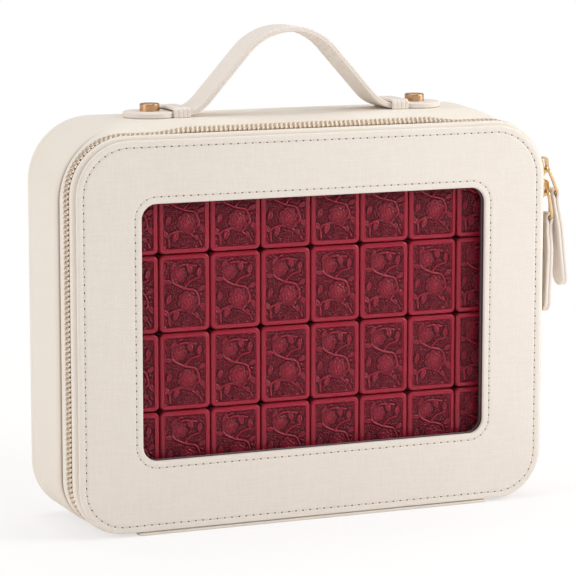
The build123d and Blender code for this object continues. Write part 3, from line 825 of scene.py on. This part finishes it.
tile = {
    "width": 22.06, "height": 32.0, "thick": 15.0, "gap": 0.4,
    "columns": 8, "rows": 4, "middle": 82.1, "front": -21.35,
    "corner": 2.4, "edge": 1.0, "rim": 2.0, "fieldCorner": 1.4, "fieldSlope": 0.45, "depth": 0.85,
    "cells": (72, 112),  # across and up the carved field
    "quickStep": 3,
    "rimStart": 0.2, "footShare": 0.85, "footHeight": 0.6,  # first row of the rim, bevel at the back
    # scrolls: spacing, rows closer than columns, turn of the spiral in mm, and how far a centre strays
    "scroll": 2.3, "scrollRows": 0.87, "scrollPitch": 0.85, "scrollStray": 0.45, "scrollReach": (11, 16),
    "groundLevel": 0.34, "groundSpread": (-0.08, 0.1), "groundWave": 0.42, "seed": 11,
}


def scrollGround(x, z):
    # cloud scrolls: each point takes the spiral of its nearest centre, and spirals turn both ways
    draw = np.random.default_rng(tile["seed"])
    step, stray = tile["scroll"], tile["scrollStray"]
    reachX, reachZ = tile["scrollReach"]
    rows = np.arange(-reachZ, reachZ, step * tile["scrollRows"])
    gx, gz = np.meshgrid(np.arange(-reachX, reachX, step), rows)
    gx = gx + (np.arange(gx.shape[0]) % 2)[:, None] * step / 2
    centres = np.stack([gx.ravel(), gz.ravel()], -1) + draw.uniform(-stray, stray, (gx.size, 2))
    hand = draw.choice([-1.0, 1.0], gx.size)
    phase = draw.uniform(0, math.tau, gx.size)
    level = draw.uniform(*tile["groundSpread"], gx.size)
    near = np.hypot(x[..., None] - centres[:, 0], z[..., None] - centres[:, 1]).argmin(-1)
    dx, dz = x - centres[near, 0], z - centres[near, 1]
    spiral = math.tau * np.hypot(dx, dz) / tile["scrollPitch"] - hand[near] * np.arctan2(dz, dx) + phase[near]
    return tile["groundLevel"] + level[near] + tile["groundWave"] * np.cos(spiral)


petalRings = (
    # outer and inner reach as shares of the radius, turn as a share of a petal, lift
    (1.0, 0.68, 0.0, 0.0), (0.72, 0.42, 0.5, 0.1), (0.45, 0.16, 0.0, 0.2),
)


def blossom(x, z, middle, radius, petals, turn, grow=0.0):
    # three rings of petals: each petal rises from its root to a curled lip, is ribbed along its length,
    # and is parted from its neighbours by a deep line
    dx, dz = x - middle[0], z - middle[1]
    far, angle = np.hypot(dx, dz), np.arctan2(dz, dx) + turn
    height = np.full(x.shape, -1.0)
    for share, root, shift, lift in petalRings:
        across = (angle * petals / math.tau + shift) % 1.0 * 2 - 1
        lobe = np.sqrt(np.clip(1 - across ** 2, 0, 1))
        reach = radius * share * (0.76 + 0.24 * lobe) + grow
        start = root * radius * 0.92
        up = np.clip((far - start) / (reach - start), 0, 1)
        ribs = 0.13 * np.cos(math.tau * 3.5 * across) * up
        body = 0.3 + lift + 0.42 * up ** 1.3 * (0.35 + 0.65 * lobe) + ribs
        lip = np.clip((reach - far) / 0.35, 0, 1)
        foot = 0.2 if lift else 0.0  # the outer ring falls to the ground, the others to the ring below
        height = np.where(far < reach, body * lip + foot * (1 - lip), height)
    heart = 0.75 + 0.25 * np.cos(far * 9) * np.cos(angle * 7)
    return np.where(far < 0.16 * radius, heart, height)


def leaf(x, z, root, angle, length, width, grow=0.0):
    # a pointed leaf with a sunk midrib and slanting veins
    c, s = math.cos(angle), math.sin(angle)
    along = ((x - root[0]) * c + (z - root[1]) * s) / length
    across = -(x - root[0]) * s + (z - root[1]) * c
    half = width * np.sin(np.pi * np.clip(along, 0.001, 0.999)) ** 0.75 + grow
    share = np.abs(across) / half
    veins = 0.17 * np.cos(30 * along - 5 * np.abs(across))
    body = 0.42 + 0.3 * np.sqrt(np.clip(1 - share ** 2, 0, 1)) - 0.3 * np.exp(-(across / 0.18) ** 2) + veins
    return np.where((along > -grow / length) & (along < 1 + grow / length) & (share < 1), body, -1.0)


def vine(x, z, points, radius):
    # a round stem along a smooth curve through the points
    points = np.asarray(points, float)
    t = np.linspace(0, len(points) - 1, 120)
    line = np.stack([np.interp(t, np.arange(len(points)), points[:, i]) for i in range(2)], -1)
    for _ in range(14):  # each round eases the bends a little more
        line[1:-1] = (line[:-2] + 2 * line[1:-1] + line[2:]) / 4
    far = np.full(x.shape, 99.0)
    for px, pz in line:
        far = np.minimum(far, np.hypot(x - px, z - pz))
    return np.where(far < radius, 0.5 + 0.4 * np.sqrt(np.clip(1 - (far / radius) ** 2, 0, 1)), -1.0)


motifs = {
    "moat": 0.4,  # dark line cut round every motif
    "moatLevel": 0.02,
    # points of the curve, radius
    "stems": (
        (((-6.5, -13), (-7, -8), (-2.5, -6.5), (3, -8.5), (6.8, -4), (5, 1.0), (-0.5, 2), (-5.5, 4.5),
          (-6, 9.5), (-1, 12), (5, 11)), 0.5),
        (((3, -8.5), (6.5, -11), (7.5, -13)), 0.4),
        (((-0.5, 2), (2.5, 5), (6.5, 6)), 0.4),
    ),
    # root, angle, length, width
    "leaves": (
        ((-6.8, -9.5), 2.3, 4.6, 1.2), ((-3.0, -6.6), -1.9, 5.2, 1.35), ((6.7, -4.2), -1.0, 4.4, 1.2),
        ((5.6, 0.6), 0.5, 4.2, 1.2), ((-5.4, 4.4), 2.9, 3.9, 1.15), ((-6.0, 8.8), 1.1, 4.6, 1.25),
        ((1.5, 11.9), -1.2, 4.4, 1.3), ((6.2, 6.0), 1.5, 4.6, 1.2), ((-7.6, -4.6), 1.3, 4.6, 1.25),
        ((6.3, -11.0), 2.2, 3.2, 1.0),
    ),
    # middle, radius, petals, turn
    "blossoms": (((1.2, -3.6), 4.7, 8, 0.2), ((-2.6, 7.6), 3.7, 7, 0.5)),
}


def motifHeight(x, z, grow=0.0):
    # where motifs meet, leaves lie over stems and blossoms over both; -1 is where there is none
    height = np.full(x.shape, -1.0)
    for points, radius in motifs["stems"]:
        height = np.maximum(height, vine(x, z, points, radius + grow))
    bodies = [leaf(x, z, *look, grow) for look in motifs["leaves"]]
    bodies += [blossom(x, z, *look, grow) for look in motifs["blossoms"]]
    for body in bodies:
        height = np.where(body > -0.9, body, height)
    return height


def tileRelief(x, z):
    # height of the carving from 0 to 1: motifs, a moat cut round them, and scrolls on the rest
    motif = motifHeight(x, z)
    ground = np.where(motifHeight(x, z, motifs["moat"]) > -0.9, motifs["moatLevel"], scrollGround(x, z))
    return np.clip(np.where(motif > -0.9, motif, ground), 0, 1)


def tileShape(coarse):
    # the field is a plain grid; rings of points carry it over the rim, round the edge and down the side
    nx, nz = tile["cells"][0] // coarse, tile["cells"][1] // coarse
    rim, edge, corner = tile["rim"], tile["edge"], tile["fieldCorner"]
    fieldX, fieldZ = tile["width"] / 2 - rim, tile["height"] / 2 - rim
    gx, gz = np.meshgrid(np.linspace(-fieldX, fieldX, nx + 1), np.linspace(-fieldZ, fieldZ, nz + 1))
    pastX, pastZ = np.abs(gx) - fieldX, np.abs(gz) - fieldZ
    away = np.hypot(np.maximum(pastX + corner, 0), np.maximum(pastZ + corner, 0)) - corner
    away = np.maximum(away, np.maximum(pastX, pastZ))
    wall = smooth(np.clip(-away / tile["fieldSlope"], 0, 1))
    cut = wall * (1 - tileRelief(gx, gz))
    index = np.arange(gx.size).reshape(gx.shape)
    border = np.concatenate([index[0, :-1], index[:-1, -1], index[-1, :0:-1], index[:0:-1, 0]])
    bx, bz = gx.ravel()[border], gz.ravel()[border]
    reach = np.maximum(np.abs(bx) / fieldX, np.abs(bz) / fieldZ)
    # share of the rim's width and drop from the face: the flat rim, the rounded edge, the side and the foot
    turn = np.linspace(0, np.pi / 2, 7)
    thick, bevel = tile["thick"], tile["footHeight"]
    rounded = 1 - edge / rim * (1 - np.sin(turn))
    shares = np.concatenate([[tile["rimStart"]], rounded, [1.0, tile["footShare"]]])
    drops = np.concatenate([[0.0], edge * (1 - np.cos(turn)), [thick - bevel, thick]])
    points = [np.stack([gx.ravel(), tile["depth"] * cut.ravel(), gz.ravel()], -1)]
    quads = [np.array(gridFaces(*gx.shape))[:, ::-1]]
    inner = border
    for number, (share, drop) in enumerate(zip(shares, drops)):
        halfW, halfH = fieldX + rim * share, fieldZ + rim * share
        radius = tile["corner"] * share + 0.02
        rx, rz = bx / reach * halfW / fieldX, bz / reach * halfH / fieldZ
        cx, cz = np.clip(rx, radius - halfW, halfW - radius), np.clip(rz, radius - halfH, halfH - radius)
        inCorner = (np.abs(rx) > halfW - radius) & (np.abs(rz) > halfH - radius)
        pull = np.where(inCorner, radius / np.maximum(np.hypot(rx - cx, rz - cz), 1e-6), 1.0)
        points.append(np.stack([cx + (rx - cx) * pull, np.full(len(bx), drop), cz + (rz - cz) * pull], -1))
        outer = gx.size + number * len(bx) + np.arange(len(bx))
        quads.append(np.stack([np.roll(inner, -1), np.roll(outer, -1), outer, inner], -1))
        inner = outer
    # share of the rim colour for each point: lower in the hollows, which the material paints as shade
    reliefShades = np.concatenate([1 - cut.ravel(), np.ones(len(shares) * len(bx))])
    return np.concatenate(points), np.concatenate(quads), inner, reliefShades


def makeTiles():
    # a column of tiles is one piece
    points, quads, foot, reliefShades = tileShape(1)
    pitchX, pitchZ = tile["width"] + tile["gap"], tile["height"] + tile["gap"]
    rows, columns = tile["rows"], tile["columns"]
    faces = []
    for first in np.arange(rows) * len(points):
        faces += (quads + first).tolist() + [(foot + first).tolist()]
    levels = tile["middle"] + (np.arange(rows) - (rows - 1) / 2) * pitchZ
    for column in range(columns):
        x = (column - (columns - 1) / 2) * pitchX
        places = np.array([(x, tile["front"], z) for z in levels])[:, None, :] + points
        name = f"carvedTiles{column + 1}"
        piece = makeMesh(name, places, faces, resin, reliefShades=np.tile(reliefShades, rows), tidy=False)
        ride(piece, "case", "crimson_tile", "tiles_front")


makeTiles()
print("tiles")


# handle: one strap with round ends, two keepers

innerRound = 0.6  # how much of the outer face's rounding the hidden face of a leather layer has
handle = {
    "middle": 7.025, "seat": 168.35, "thick": 2.4, "width": 17.0, "tabRadius": 11.2, "tabMiddle": 60.5,
    "rise": 36.3, "legAngle": 48.0, "footBend": 16.0, "topBend": 26.0, "edgeRound": 0.75,
    "crease": 1.5, "creaseDepth": 0.16, "creaseWidth": 0.28,
    "edgeLine": (0.3, 0.06, -0.06, -0.3), "edgeTuck": (0.0, 0.18, 0.18, 0.0),  # the groove between the layers
    "blend": (169.2, 180.35),
    "flatRun": (0.8, 0.5, 22),  # reach of the flat rows past the tab's middle and the foot bend, their number
    "columns": 27,
}
keeper = {
    "middle": 49.6, "length": 7.6, "wall": 1.2, "gap": 0.3, "soft": 1.3, "edge": 0.45,
    "lines": (-1.9, 0.0, 1.9), "lineDepth": 0.2, "lineWidth": 0.22, "rows": 41,
}


def strapLine():
    # the strap's middle line: flat, foot bend, straight leg and top bend, then the same mirrored
    level = handle["seat"] + handle["thick"] / 2
    lean, footBend, topBend = math.radians(handle["legAngle"]), handle["footBend"], handle["topBend"]
    top = handle["seat"] + handle["rise"] - handle["thick"] / 2
    peak = top + topBend * (1 / math.cos(lean) - 1)
    foot = (peak - level) / math.tan(lean)
    cut = footBend * math.tan(lean / 2)
    tab = handle["tabMiddle"] + handle["tabRadius"] * np.sin(np.linspace(0, np.pi / 2, 16))[::-1]
    tabGap, footGap, count = handle["flatRun"]
    flat = np.linspace(handle["tabMiddle"] - tabGap, foot + cut + footGap, count)
    turn = np.linspace(0, lean, 14)
    footX, footZ = foot + cut - footBend * np.sin(turn), level + footBend * (1 - np.cos(turn))
    leg = np.linspace(footX[-1], topBend * math.sin(lean), 16)[1:-1]
    legZ = footZ[-1] + (footX[-1] - leg) * math.tan(lean)
    topX, topZ = topBend * np.sin(turn[::-1]), top - topBend * (1 - np.cos(turn[::-1]))
    x = np.concatenate([tab, flat, footX, leg, topX])
    z = np.concatenate([np.full(len(tab) + len(flat), level), footZ, legZ, topZ])
    return np.concatenate([x, -x[-2::-1]]), np.concatenate([z, z[-2::-1]])


def makeStrap():
    # across the strap: a face, a rounded edge with a line between its two layers, and the other face
    x, z = strapLine()
    radius = handle["tabRadius"]
    inTab = np.abs(x) - handle["tabMiddle"]
    disc = np.sqrt(np.clip(radius ** 2 - inTab ** 2, 0, None))
    straight = np.maximum(handle["width"] / 2, np.where(np.abs(inTab) < radius, disc, 0))
    half = np.where(inTab > 0, disc, straight)[:, None]
    v = half * np.sin(np.linspace(-1, 1, handle["columns"]) * np.pi / 2)
    alongArc = (np.abs(inTab) < radius)[:, None] & (disc[:, None] >= half - 1e-6)
    rimDistance = np.where(alongArc, radius - np.sqrt(inTab[:, None] ** 2 + v ** 2), half - np.abs(v))
    rimDistance = np.clip(rimDistance, 0, None)
    dent = handle["creaseDepth"] * np.exp(-((rimDistance - handle["crease"]) / handle["creaseWidth"]) ** 2)
    rise = handle["thick"] / 2 - rounding(rimDistance, handle["edgeRound"]) - dent
    line = np.broadcast_to(handle["edgeLine"], (len(x), 4))
    side = half - np.array(handle["edgeTuck"]) * np.minimum(half, 1.0)
    sideways = np.concatenate([v, side, v[:, ::-1], -side], 1)
    downward = np.concatenate([-rise, -line, rise[:, ::-1], line], 1)
    points = carried(x, z, downward, handle["middle"], sideways)
    faces = gridFaces(*points.shape[:2], wrapColumns=True)
    return makeMesh("strap", points, faces, leathers["strapLeather"])


strap = makeStrap()
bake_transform(strap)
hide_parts("handle_grip", "handle_leg_left", "handle_leg_right", "handle_tab_left", "handle_tab_right")


def makeKeeper(name, side):
    # a narrow band carried up, over the strap and down, with three sunk lines along it
    wall, soft = keeper["wall"], keeper["soft"]
    outHalf = handle["width"] / 2 + keeper["gap"] + wall / 2
    outTop = handle["thick"] + 2 * keeper["gap"] + wall / 2
    turn = np.linspace(0, np.pi / 2, 8)
    across = np.linspace(soft - outHalf, outHalf - soft, 14)[1:-1]
    upright = np.linspace(0, outTop - soft, 5)[:4]
    y = np.concatenate([
        np.full(4, -outHalf), soft - outHalf - soft * np.cos(turn), across,
        outHalf - soft + soft * np.sin(turn), np.full(4, outHalf),
    ])
    z = np.concatenate([
        upright, outTop - soft + soft * np.sin(turn), np.full(12, outTop),
        outTop - soft + soft * np.cos(turn), upright[::-1],
    ])
    halfLength = keeper["length"] / 2
    x = np.linspace(-halfLength, halfLength, keeper["rows"])
    drop = rounding(halfLength - np.abs(x), keeper["edge"])
    lines = sum(np.exp(-((x - place) / keeper["lineWidth"]) ** 2) for place in keeper["lines"])
    loopX = np.concatenate([x, x[::-1]])
    outer, inner = wall / 2 - drop - keeper["lineDepth"] * lines, drop * innerRound - wall / 2
    loopOut = np.concatenate([outer, inner[::-1]])
    points = carried(handle["middle"] + y, handle["seat"] + z, loopOut, side * keeper["middle"], loopX)
    points = points[..., [1, 0, 2]]  # the band's line lies in y and z, so its width is along x
    rows, count = points.shape[:2]
    ends = [list(range(count)), [rows * count - 1 - i for i in range(count)]]
    return makeMesh(name, points, gridFaces(rows, count, wrapColumns=True) + ends, leathers["strapLeather"])


for name, side in (("keeperLeft", -1), ("keeperRight", 1)):
    ride(makeKeeper(name, side), "case", "strap_leather", "handle_keepers")
print("handle")


# zip pulls: a strip of leather folded round the ring, its two layers glued

pull = {
    "length": 41.0, "half": 4.5, "neckHalf": 2.6, "neck": 6.0, "shoulder": 8.0,
    "layer": 1.5, "loopLayer": 1.15,
    "bodyOffset": 0.79, "loopRadius": 1.425, "pinch": 3.6, "edgeRound": 0.45, "columns": 15,
    # from the round tip to the straight rows, from those to the pinched ones, and from those to the loop
    "rowGaps": (1.2, 0.4, 0.35),
    # where the loop's middle lies, in x and z, and how far it leans outwards in degrees
    "upper": ((113.929, 131.912), 6.5), "lower": ((111.347, 121.275), -2.0),
}


def makePull(name, node, foot, leanDegrees):
    # path in (outwards, up) from the lower end of the inner layer, over the ring, to the lower end of the
    # outer layer; the strip is narrow at the ring, widens over its shoulder and ends in a half circle
    length, broad, pinch, loop = pull["length"], pull["half"], pull["pinch"], pull["loopRadius"]
    tipGap, pinchGap, loopGap = pull["rowGaps"]
    down = np.concatenate([
        -length + broad * (1 - np.cos(np.linspace(0, np.pi / 2, 10))),
        np.linspace(-length + broad + tipGap, -pinch, 26),
        np.linspace(-pinch + pinchGap, -loopGap, 8),
    ])
    offset = pull["bodyOffset"] + (loop - pull["bodyOffset"]) * smooth(np.clip((down + pinch) / pinch, 0, 1))
    turn = np.linspace(0, np.pi, 15)[1:-1]
    out = np.concatenate([-offset, -loop * np.cos(turn), offset[::-1]])
    up = np.concatenate([down, loop * np.sin(turn), down[::-1]])
    depth = np.clip(-up, 0, None)
    stops = [0, pull["neck"], pull["neck"] + pull["shoulder"], length]
    half = np.interp(depth, stops, [pull["neckHalf"], pull["neckHalf"], broad, broad])
    tip = np.clip(depth - (length - broad), 0, broad)
    half = (half * np.sqrt(np.clip(1 - (tip / broad) ** 2, 0, 1)))[:, None]
    thin, full = pull["loopLayer"] / 2, pull["layer"] / 2
    layer = np.minimum(thin + (full - thin) * depth / pinch, full)[:, None]
    v = half * np.sin(np.linspace(-1, 1, pull["columns"]) * np.pi / 2)
    near = np.minimum(np.clip(half - np.abs(v), 0, None), (length - depth)[:, None])
    drop = rounding(near, pull["edgeRound"])
    sideways = np.concatenate([v, v[:, ::-1]], 1)
    thick = np.concatenate([layer - drop, drop[:, ::-1] * innerRound - layer], 1)
    lean = math.radians(leanDegrees)
    x, z = out * math.cos(lean) - up * math.sin(lean), out * math.sin(lean) + up * math.cos(lean)
    points = carried(foot[0] + x, foot[1] + z, thick, case["zip"], sideways)
    piece = makeMesh(name, points, gridFaces(*points.shape[:2], wrapColumns=True), leathers["strapLeather"])
    return ride(piece, node, "strap_leather", node)


makePull("upperPull", "upper_pull", *pull["upper"])
makePull("lowerPull", "lower_pull", *pull["lower"])
print("pulls")


# strip under the case, drawn lying flat; the real strip folds as the lid opens

strip = {
    "half": 79.0, "thick": 1.2, "soft": 0.35, "fold": (-19.2, -21.0),
    "rows": ((-28.2, -21.6, 10), (-21.3, -18.9, 17), (-18.0, 20.0, 16)),  # from front to back
    "edgeRun": 3, "columns": 30,
}


def makeStrip():
    # rows along the depth, close together at the fold, each the section of a thin strip with rounded edges
    half, soft, run = strip["half"], strip["soft"], strip["edgeRun"]
    y = np.concatenate([np.linspace(*stretch) for stretch in strip["rows"]])
    level = np.linspace(-half + run, half - run, strip["columns"])
    x = np.concatenate([[-half, -half + soft], level, [half - soft, half]])
    tuck = rounding(np.minimum(y - y[0], y[-1] - y), soft)
    low = np.maximum(tuck[:, None], np.where(np.abs(x) > half - 0.01, soft, 0.0))
    height = np.concatenate([strip["thick"] - low, low[:, ::-1]], 1)
    points = np.stack(np.broadcast_arrays(np.concatenate([x, x[::-1]]), y[:, None], height), -1)
    rows, count = height.shape
    i = np.arange(len(x) - 1)
    end = np.stack([i, i + 1, count - 2 - i, count - 1 - i], -1)
    faces = gridFaces(rows, count, wrapColumns=True) + end.tolist() + (end + (rows - 1) * count).tolist()
    return makeMesh("baseStrip", points, faces, leathers["fineGrainLeather"])


base = makeStrip()
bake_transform(base)
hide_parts("hinge_strip_case", "hinge_strip_lid")
print("base strip")


# CAD pieces that keep their shape

finishes = (
    (cloths["polyesterTape"], ("zip_tape_lid", "zip_tape_case")),
    (cloths["suedeLining"], ("lid_lining", "case_lining")),
    # painted shade: the window facing takes the dark cloth, partly as its own colour, partly for the shade it
    # lies in
    (cloths["windowShadeCloth"], ("window_facing",)),
    (cloths["flockedFoam"], ("tile_collar",)),
    (board, ("front_board", "side_board", "back_board")),
    (sheet, ("window_pane",)),
    (metals["lightGoldPlate"], ("upper_slider", "lower_slider", "upper_ring", "lower_ring")),
    (metals["turnedCopperBrass"], ("handle_studs",)),
    (metals["nickelSteel"], ("stud_washers", "stud_screws")),
    (resin, ("tiles_middle", "tiles_rear")),
)
for material, names in finishes:
    for place in [place for name in names for place in nodes[name].material_slots]:
        place.material = material
print("finishes")
